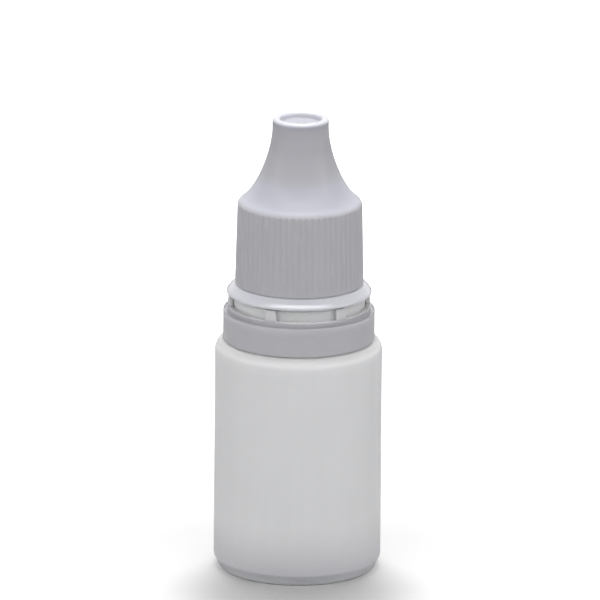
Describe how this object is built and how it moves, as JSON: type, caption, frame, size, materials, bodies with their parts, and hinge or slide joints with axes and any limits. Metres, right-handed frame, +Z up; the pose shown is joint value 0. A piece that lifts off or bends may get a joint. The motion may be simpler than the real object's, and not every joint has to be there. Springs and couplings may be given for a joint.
{
  "type": "eye drop bottle",
  "caption": "Squeeze bottle for eye drops: round translucent body, pressed-in dropper tip, flared screw cap and a break-away ring on the neck.",
  "frame": {"origin": "centre of the base, on the plane that the bottle stands on", "axes": "+Z up the bottle's axis through the cap's tip; +X to the right and -Y towards the viewer in the picture"},
  "size_m": [0.025, 0.025, 0.069],
  "materials": {
    "bottle_plastic": "milky translucent low-density polyethylene, soft satin",
    "tip_plastic": "natural white low-density polyethylene, soft satin",
    "cap_plastic": "pale grey-white moulded polyethylene, semi-gloss"
  },
  "bodies": {
    "bottle": {"bottle": "bottle_plastic", "dropper_tip": "tip_plastic"},
    "tamper_ring": {"tamper_ring": "cap_plastic"},
    "screw_cap": {"screw_cap": "cap_plastic"}
  },
  "joints": [
    {"name": "cap_turn", "type": "hinge", "parent": "bottle", "child": "tamper_ring", "pos_m": [0, 0, 0.0376], "axis": [0, 0, 1], "range_deg": [0, 540]},
    {"name": "cap_lift", "type": "slide", "parent": "tamper_ring", "child": "screw_cap", "axis": [0, 0, 1], "range_m": [0, 0.038]}
  ]
}
